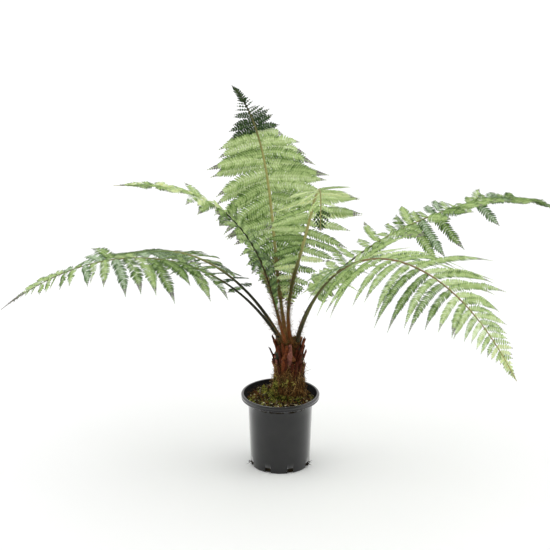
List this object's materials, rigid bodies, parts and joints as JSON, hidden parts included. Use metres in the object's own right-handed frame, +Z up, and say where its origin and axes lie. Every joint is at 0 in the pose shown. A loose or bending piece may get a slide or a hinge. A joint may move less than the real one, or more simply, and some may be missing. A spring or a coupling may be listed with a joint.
{
  "type": "tree fern in a pot",
  "caption": "Young potted tree fern: a short shaggy trunk in a round nursery pot, with long arching feathery fronds spreading from its crown.",
  "frame": {"origin": "middle of the pot's flat underside, on the ground", "axes": "+Z up along the pot's axis; +X towards the two fronds on the right; -Y towards the front frond, the side the fern is shown from"},
  "size_m": [1.4609, 1.0765, 0.9358],
  "materials": {
    "pot": "satin",
    "compost": "matte",
    "trunk": "matte",
    "stalk": "satin",
    "leaf": "matte"
  },
  "bodies": {
    "root": {"pot": "pot", "compost": "compost", "trunk": "trunk", "low_left_stalk": "stalk", "low_left_inner": "leaf", "low_left_outer": "leaf", "back_left_stalk": "stalk", "back_left_inner": "leaf", "back_left_outer": "leaf", "high_left_stalk": "stalk", "high_left_inner": "leaf", "high_left_outer": "leaf", "upright_stalk": "stalk", "upright_inner": "leaf", "upright_outer": "leaf", "front_stalk": "stalk", "front_inner": "leaf", "front_outer": "leaf", "high_right_stalk": "stalk", "high_right_inner": "leaf", "high_right_outer": "leaf", "low_right_stalk": "stalk", "low_right_inner": "leaf", "low_right_outer": "leaf"}
  },
  "joints": []
}
